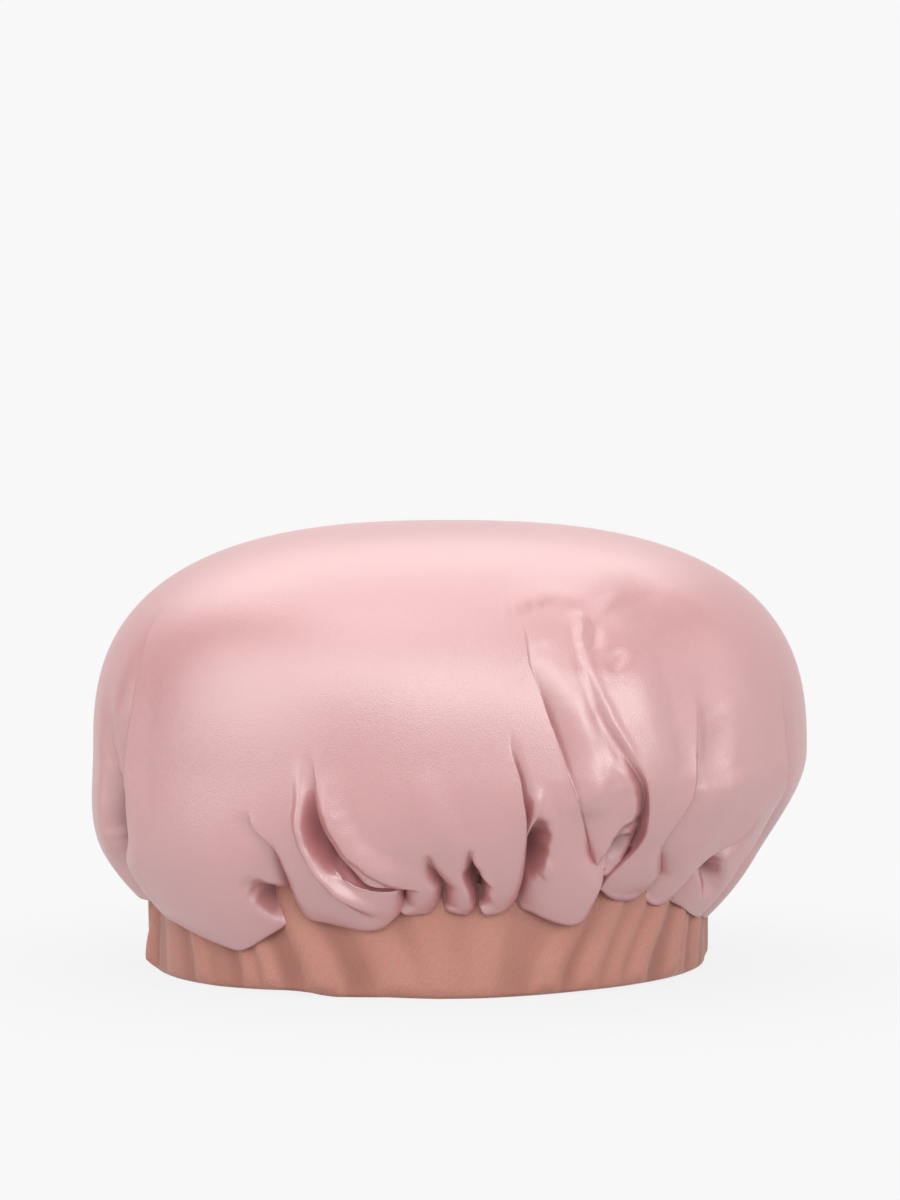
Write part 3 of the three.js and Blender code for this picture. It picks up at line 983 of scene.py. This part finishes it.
        slid = angle + slide * below / np.maximum(degree, 0.1)
        return self.dome.place(section, slid, self.seam_top), base, angle

    def folded(
        self, base: np.ndarray, angle: np.ndarray, outside: np.ndarray, facing: np.ndarray
    ) -> np.ndarray:
        """How far the crown's own folds press each point in or out.

        Args:
            base: where the cloth lies before it is folded.
            angle: its angles in degrees.
            outside: which points are on the outside, above the lobes' lowest line.
            facing: which way the cloth faces.

        Returns:
            Distances along the way that the cloth faces, in metres.
        """
        rise = np.zeros(len(base))
        for fold in FOLDS:
            line = smooth_path(fold.line, 24)
            on_line = [self.nearest(base, angle, outside, *point) for point in line]
            path, ahead = base[on_line], facing[on_line]
            reach = max(fold.left, fold.right) * MM
            close = outside.copy()
            for axis in range(3):
                close &= np.abs(base[:, axis] - path[:, axis].mean()) < np.ptp(path[:, axis]) + reach
            near, leftward, along = beside_line(base[close], path, ahead)
            width = np.where(leftward, fold.left, fold.right) * MM
            rise[close] += fold.rise(along, near / width) * MM
        return rise

    @staticmethod
    def nearest(
        places: np.ndarray, angle: np.ndarray, outside: np.ndarray, at: float, height: float
    ) -> int:
        """The point on the outside nearest to an angle and a height in mm."""
        gap = (turn_between(angle, at) * 2.0) ** 2 + (places[:, 2] / MM - height) ** 2
        return int(np.argmin(np.where(outside, gap, np.inf)))

    def build(self) -> bpy.types.Object:
        """Makes the crown's satin from its flat cut."""
        mesh = flat_disc("crown_cloth", self.radii(), self.columns)
        flat = coordinates(mesh)
        radius = np.hypot(flat[:, 0], flat[:, 1])
        cut_angle = np.degrees(np.arctan2(flat[:, 1], flat[:, 0])) % 360.0
        column = 360.0 / self.columns
        cut_angle = np.round(cut_angle / column) % self.columns * column
        places, base, angle = self.puffed(radius, cut_angle)
        edges = edge_list(mesh)
        free = smoothstep((self.stages[3] - radius) / self.loose_reach)
        move_vertices(mesh, base)
        facing = vertex_normals(mesh)
        rise = self.folded(base, angle, radius < self.stages[2], facing)
        places = relax(places + facing * rise[:, None], edges, free, *self.easing)
        # Painted shade: darker colour where the cloth is pressed deep into a fold, and all over the lobes'
        # undersides.
        depth = np.einsum("ij,ij->i", base - places, facing)
        under = smoothstep((radius - self.stages[2]) / self.painted_underside_shade_over)
        store_painted_shade(mesh, np.maximum(smoothstep((depth - self.painted_shade_from_depth) / self.painted_shade_over_depth), under))
        move_vertices(mesh, places)
        piece = new_piece("crown_cloth", mesh, PINK_SATIN.material())
        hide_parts("crown_satin")
        return piece


@dataclass
class Lining:
    """The plain satin lining, pleated into the band behind the crown."""

    girth: float = 73 * MM
    inset: float = 6 * MM
    seam_out: float = -3.8 * MM
    allowance: float = 4 * MM
    over_dome: float = 135 * MM
    down_to_seam: float = 45 * MM
    heel: tuple[float, float] = (0.06, 0.25)
    pleats: int = 72
    pleat_depth: float = 3.6 * MM
    pleat_reach: float = 42 * MM
    columns: int = 576
    rows: tuple[int, int, int] = (40, 24, 3)
    # The lining gets painted shade below this height, reaching full over the next distance down.
    painted_shade_height: float = 66 * MM
    painted_shade_fade: float = 24 * MM

    def dome(self) -> Dome:
        """The lining's dome, a little inside the frame's own."""
        outer = Dome.from_frame("crown_lining", self.girth)
        half_width, half_depth = outer.half_width - self.inset, outer.half_depth - self.inset
        return Dome(half_width, half_depth, self.girth, outer.top - self.inset)

    def build(self) -> bpy.types.Object:
        """Makes the lining from its flat cut."""
        ends = np.cumsum([0.0, self.over_dome, self.down_to_seam, self.allowance])
        mesh = flat_disc("lining_cloth", rows_between(ends, self.rows), self.columns)
        flat = coordinates(mesh)
        stage = np.interp(np.hypot(flat[:, 0], flat[:, 1]), ends, range(len(ends)))
        dome = self.dome()
        foot = np.broadcast_to(LOOP.spans(self.seam_out, LOOP.height), (len(stage), 3))
        below = foot - np.outer(np.clip(stage - 2.0, 0.0, 1.0), [0.0, 0.0, self.allowance])
        fall = np.where((stage < 2.0)[:, None], dome.fall(foot, self.heel, stage - 1.0), below)
        section = np.where((stage < 1.0)[:, None], dome.section(stage), fall)
        turn = np.degrees(np.arctan2(flat[:, 1], flat[:, 0]))
        pleat = 0.5 - 0.5 * np.cos(np.radians(turn * self.pleats))
        near = smoothstep(1.0 - (section[:, 2] - LOOP.height) / self.pleat_reach)
        near = near * (stage < 2.0) * (stage > 1.0)
        section[:, :2] -= (pleat * near * self.pleat_depth)[:, None]
        move_vertices(mesh, dome.place(section, turn, LOOP.height))
        # Painted shade: the lining's colour darkens downwards towards the seam.
        store_painted_shade(mesh, smoothstep((self.painted_shade_height - section[:, 2]) / self.painted_shade_fade))
        piece = new_piece("lining_cloth", mesh, PALE_SATIN.material())
        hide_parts("crown_lining")
        return piece


# Band

# How far the hem stands off the floor, less than the cloth under the elastic: (angle, mm)
HEM_LIFT = (
    (0, 1.0), (20, 0.7), (60, 0.2), (120, 0), (207, 0), (222, 0.2), (234, 0.8), (240, 1.2), (243, 1.2),
    (246, 0.9), (248, 0.4), (251, 0), (262, 0.4), (272, 0), (281, 0), (291, 0.3), (302, 0.7), (320, 1.0),
    (340, 1.2), (360, 1.0),
)

# The wrinkles that the elastic drags into the front: (angle at the top, angle at the hem, mm tall, mm wide)
FRONT_WRINKLES = (
    (203, 205, 1.4, 9), (212, 217.5, 2.0, 6), (226, 232, 2.2, 5), (229.5, 237, 2.4, 5),
    (240.5, 248.5, 3.6, 9), (255, 263.5, 3.0, 10), (268, 272, 1.2, 9), (284, 281, 1.2, 9),
    (303, 294.5, 3.0, 7), (311.5, 303.5, 2.8, 7), (319, 310, 2.0, 6), (327, 317, 3.2, 7),
    (335, 329.5, 2.8, 5), (338.5, 333.5, 2.2, 4), (346.5, 341, 2.4, 6),
)


@dataclass
class Band:
    """The folded stretch band."""

    cloth: float = 1.2 * MM
    thickness: float = 5.8 * MM
    hem_round: float = 1.8 * MM
    lip_round: float = 0.45 * MM
    strip_length: float = 0.55
    strip_width: float = 0.076
    columns: int = 540
    wall_rows: int = 20
    back_wrinkles: tuple[float, float, float] = (4.0, 200.0, 9.0)
    steep_side: float = 0.75
    hollow_share: float = 0.35
    height_share: float = 0.6
    deepest: float = 0.9 * MM
    calm_hem: float = 4 * MM
    seed: int = 11

    def section(self) -> bmesh.types.BMesh:
        """The band's section: a deep U, with its hem rounded and its walls cut into rows."""
        outer, inner = LOOP.half_width, LOOP.half_width - self.thickness
        corners = [
            (outer, 0.0), (outer, LOOP.height),
            (outer - self.cloth, LOOP.height), (outer - self.cloth, self.cloth),
            (inner + self.cloth, self.cloth), (inner + self.cloth, LOOP.height),
            (inner, LOOP.height), (inner, 0.0),
        ]
        section = bmesh.new()
        verts = [section.verts.new((x, 0.0, z)) for x, z in corners]
        for pair in zip(verts, verts[1:] + verts[:1]):
            section.edges.new(pair)
        bmesh.ops.bevel(
            section, geom=[verts[0], verts[-1]], offset=self.hem_round, offset_type="OFFSET", segments=5,
            profile=0.5, affect="VERTICES", material=-1,
        )
        lips = [v for v in section.verts if abs(v.co.z - LOOP.height) < 1e-6]
        bmesh.ops.bevel(
            section, geom=lips, offset=self.lip_round, offset_type="OFFSET", segments=3,
            profile=0.5, affect="VERTICES", material=-1,
        )
        walls = [e for e in section.edges if e.calc_length() > LOOP.height / 2]
        bmesh.ops.subdivide_edges(section, edges=walls, cuts=self.wall_rows)
        return section

    def creases(self) -> list[tuple[float, float, float, float]]:
        """The front's wrinkles, and chance ones like them round the back."""
        draw = np.random.default_rng(self.seed)
        lines = list(FRONT_WRINKLES)
        for at in np.arange(*self.back_wrinkles):
            top = at + draw.uniform(-3.0, 3.0)
            hem = top + draw.uniform(-7.0, 7.0)
            lines.append((top, hem, draw.uniform(1.4, 3.2), draw.uniform(4.0, 8.0)))
        return lines

    def wrinkles(self, angle: np.ndarray, height: np.ndarray) -> np.ndarray:
        """How far the elastic's pull pushes the cloth out in slanted wrinkles, in metres."""
        degree = np.radians(1.0) * LOOP.half_width / MM
        down = smoothstep(1.0 - height / LOOP.height)
        out = np.zeros(len(angle))
        for top, hem, tall, wide in self.creases():
            away = turn_between(angle, top + (hem - top) * down) * degree * np.sign(hem - top)
            across = away / (wide * np.where(away < 0, self.steep_side, 2.0 - self.steep_side))
            beside = (away + wide * 1.2) / wide
            ridge = np.clip(1.0 - across**2, 0.0, 1.0) ** 2
            hollow = np.clip(1.0 - beside**2, 0.0, 1.0) ** 2
            out += self.height_share * tall * MM * (ridge - self.hollow_share * hollow)
        return out

    def build(self) -> bpy.types.Object:
        """Makes the band's cloth sleeve."""
        sleeve = self.section()
        spun(sleeve, self.columns)
        mesh = finished_mesh("band_sleeve", sleeve)
        circle = coordinates(mesh)
        out = np.hypot(circle[:, 0], circle[:, 1]) - LOOP.half_width
        turn = np.arctan2(circle[:, 1], circle[:, 0])
        height = circle[:, 2]
        outer = smoothstep((out + self.cloth) / (self.cloth * 0.6))
        push = self.wrinkles(np.degrees(turn) % 360, height)
        rising = smoothstep(height / self.calm_hem)
        out = out + np.maximum(push, -self.deepest) * outer * rising
        spans = LOOP.spans(out, height)
        lift = np.interp(np.degrees(turn) % 360, *zip(*HEM_LIFT)) * MM * (1.0 - height / LOOP.height)
        places = np.stack(
            [LOOP.middle + spans[:, 0] * np.cos(turn), spans[:, 1] * np.sin(turn), height + lift], axis=-1
        )
        move_vertices(mesh, places)
        store_cut(mesh, np.stack([turn * LOOP.half_width, height], axis=-1))
        # Painted shade: the colour darkens in the hollows between the wrinkles, more so low on the band.
        low = smoothstep(1.2 - height / (30 * MM))
        store_painted_shade(mesh, smoothstep((0.8 * MM - push) / (2.2 * MM)) * outer * (0.3 + 0.35 * low))
        piece = new_piece("band_sleeve", mesh, ROSE_STRETCH.material())
        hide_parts("band_casing")
        return piece


@dataclass
class Topstitch:
    """The row of stitches that closes the band inside."""

    step: float = 3.2 * MM
    stitch_share: float = 0.8

    def build(self) -> bpy.types.Object:
        """Makes the stitches, each a small plump thread."""
        low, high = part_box("band_topstitch")
        middle = (low + high) / 2
        thick = high.z - low.z
        half_width, half_depth = (high.x - low.x - thick) / 2, (high.y - low.y - thick) / 2
        around = math.pi * (half_width + half_depth)
        count = round(around / self.step)
        size = Matrix.Diagonal((self.stitch_share * self.step / 2, thick / 2, thick / 2, 1.0))
        row = bmesh.new()
        for k in range(count):
            turn = math.tau * k / count
            x, y = middle.x + half_width * math.cos(turn), middle.y + half_depth * math.sin(turn)
            along = math.atan2(half_depth * math.cos(turn), -half_width * math.sin(turn))
            stand = Matrix.Translation((x, y, middle.z)) @ Matrix.Rotation(along, 4, "Z") @ size
            bmesh.ops.create_uvsphere(row, u_segments=6, v_segments=6, radius=1.0, matrix=stand)
        piece = new_piece("topstitch_row", finished_mesh("topstitch_row", row), PINK_THREAD.material())
        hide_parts("band_topstitch")
        return piece


# Studio

@dataclass(frozen=True)
class Studio:
    """The pale floor, the soft lights and the camera."""

    lens: float = 125.0
    sensor: float = 36.0
    eye: tuple[float, float, float] = (0.0, -1.394, 0.198)
    aim: tuple[float, float, float] = (0.0, 0.0, 0.1225)
    white: float = 0.939
    ambient: float = 0.45
    shadow: float = 0.09
    shadow_reach: tuple[float, float] = (0.11, 0.22)
    lamp_aim: tuple[float, float, float] = (0.0, 0.0, 0.08)
    paper_grey: float = 0.55
    paper_size: float = 6.0
    backdrop: float = 3.0

    def camera(self) -> None:
        """Sets the camera at the photograph's angle."""
        data = bpy.data.cameras.new("camera")
        data.lens = self.lens
        data.sensor_width = self.sensor
        camera = bpy.data.objects.new("camera", data)
        camera.location = self.eye
        look = Vector(self.aim) - Vector(self.eye)
        camera.rotation_euler = look.to_track_quat("-Z", "Y").to_euler()
        bpy.context.scene.collection.objects.link(camera)
        bpy.context.scene.camera = camera

    def lamp(self, name: str, place: tuple, size: float, power: float) -> None:
        """Hangs one soft square lamp that points at the bonnet.

        Args:
            name: the lamp's name.
            place: where it hangs.
            size: its side.
            power: its power in watts.
        """
        data = bpy.data.lights.new(name, "AREA")
        data.shape = "SQUARE"
        data.size = size
        data.energy = power
        lamp = bpy.data.objects.new(name, data)
        lamp.location = place
        look = Vector(self.lamp_aim) - Vector(place)
        lamp.rotation_euler = look.to_track_quat("-Z", "Y").to_euler()
        bpy.context.scene.collection.objects.link(lamp)

    def light(self) -> None:
        """Lights the bonnet from above, the front, its right front corner and both sides, in a dim room."""
        self.lamp("top_softbox", (-0.1, 0.4, 1.2), 1.7, 11.0)
        self.lamp("key_softbox", (-0.1, -1.15, 1.35), 1.9, 12.4)
        self.lamp("front_softbox", (-0.1, -1.9, 0.75), 1.3, 6.0)
        self.lamp("corner_softbox", (1.15, -1.5, 0.62), 1.0, 7.5)
        self.lamp("left_softbox", (-1.9, -1.0, 0.85), 2.2, 20.5)
        self.lamp("right_softbox", (2.2, -0.4, 0.65), 2.8, 16.0)
        world = bpy.data.worlds.new("room")
        bpy.context.scene.world = world
        world.use_nodes = True
        room = world.node_tree.nodes["Background"]
        room.inputs["Color"].default_value = (self.ambient, self.ambient, self.ambient, 1.0)

    def paper(self, name: str, shadow: float) -> bpy.types.Material:
        """White paper, which glows plain white to the camera and in reflections.

        Args:
            name: the material's name.
            shadow: the share of its own shading that shows close to the bonnet.

        Returns:
            The paper's material.
        """
        nodes = Nodes(name)
        nodes.feed(nodes.shader, "Base Color", (self.paper_grey, self.paper_grey, self.paper_grey, 1.0))
        nodes.feed(nodes.shader, "Roughness", 0.9)
        glow = nodes.add("ShaderNodeEmission", inputs={"Color": (self.white, self.white, self.white, 1.0)})
        place = nodes.add("ShaderNodeTexCoord").outputs["Object"]
        away = nodes.add("ShaderNodeVectorMath", {"operation": "LENGTH"}, {0: place})
        share = nodes.add("ShaderNodeMapRange", {"interpolation_type": "SMOOTHSTEP"})
        nodes.feed(share, 0, away.outputs["Value"])
        nodes.feed(share, 1, self.shadow_reach[0])
        nodes.feed(share, 2, self.shadow_reach[1])
        nodes.feed(share, 3, 1.0 - shadow)
        path = nodes.add("ShaderNodeLightPath").outputs
        mirrored = nodes.add("ShaderNodeMath", {"operation": "MAXIMUM"}, {0: path["Is Camera Ray"]})
        nodes.feed(mirrored, 1, path["Is Glossy Ray"])
        seen = nodes.add("ShaderNodeMath", {"operation": "MAXIMUM"}, {0: mirrored.outputs[0]})
        nodes.feed(seen, 1, path["Is Transmission Ray"])
        factor = nodes.add("ShaderNodeMath", {"operation": "MULTIPLY"}, {0: seen.outputs[0]})
        nodes.feed(factor, 1, share.outputs[0])
        mix = nodes.add("ShaderNodeMixShader", inputs={0: factor.outputs[0]})
        nodes.tree.links.new(nodes.shader.outputs[0], mix.inputs[1])
        nodes.tree.links.new(glow.outputs[0], mix.inputs[2])
        nodes.tree.links.new(mix.outputs[0], nodes.tree.nodes["Material Output"].inputs["Surface"])
        return nodes.material

    def sheet(self, name: str, turn: Matrix, material: bpy.types.Material) -> None:
        """Sets up one wide sheet of paper.

        Args:
            name: the sheet's name.
            turn: how it is laid flat or turned upright.
            material: its paper.
        """
        plane = bmesh.new()
        bmesh.ops.create_grid(plane, x_segments=2, y_segments=2, size=self.paper_size, matrix=turn)
        mesh = finished_mesh(name, plane)
        mesh.materials.append(material)
        paper = bpy.data.objects.new(name, mesh)
        bpy.context.scene.collection.objects.link(paper)

    def papers(self) -> None:
        """Lays the floor, which keeps the bonnet's soft shadow, and hangs the backdrop behind it."""
        self.sheet("floor", Matrix.Identity(4), self.paper("floor_paper", self.shadow))
        upright = Matrix.Translation((0.0, self.backdrop, 0.0)) @ Matrix.Rotation(math.radians(90), 4, "X")
        self.sheet("backdrop", upright, self.paper("backdrop_paper", 0.0))


def dress_hidden() -> None:
    """Gives the frame's own nodes their finish."""
    finishes = {
        "band_elastic": WHITE_ELASTIC,
        "gathering_thread": PINK_THREAD,
        "band_end_stitches": PINK_THREAD,
        "band_topstitch": PINK_THREAD,
        "elastic_lap_stitches": PINK_THREAD,
        "crown_lining": PALE_SATIN,
    }
    for node, finish in finishes.items():
        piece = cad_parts[node]
        piece.data.materials.clear()
        piece.data.materials.append(finish.material())
        LOG.info("%s finished in %s", node, finish.name)


def main() -> None:
    """Builds the bonnet and its studio."""
    logging.basicConfig(level=logging.INFO, format="%(message)s")
    studio = Studio()
    studio.camera()
    for part in (Band(), Topstitch(), Lining(), Crown()):
        piece = part.build()
        LOG.info("%s built with %d faces", piece.name, len(piece.data.polygons))
    dress_hidden()
    studio.papers()
    studio.light()
    bpy.context.scene.view_settings.view_transform = "Standard"


if __name__ == "__main__":
    main()
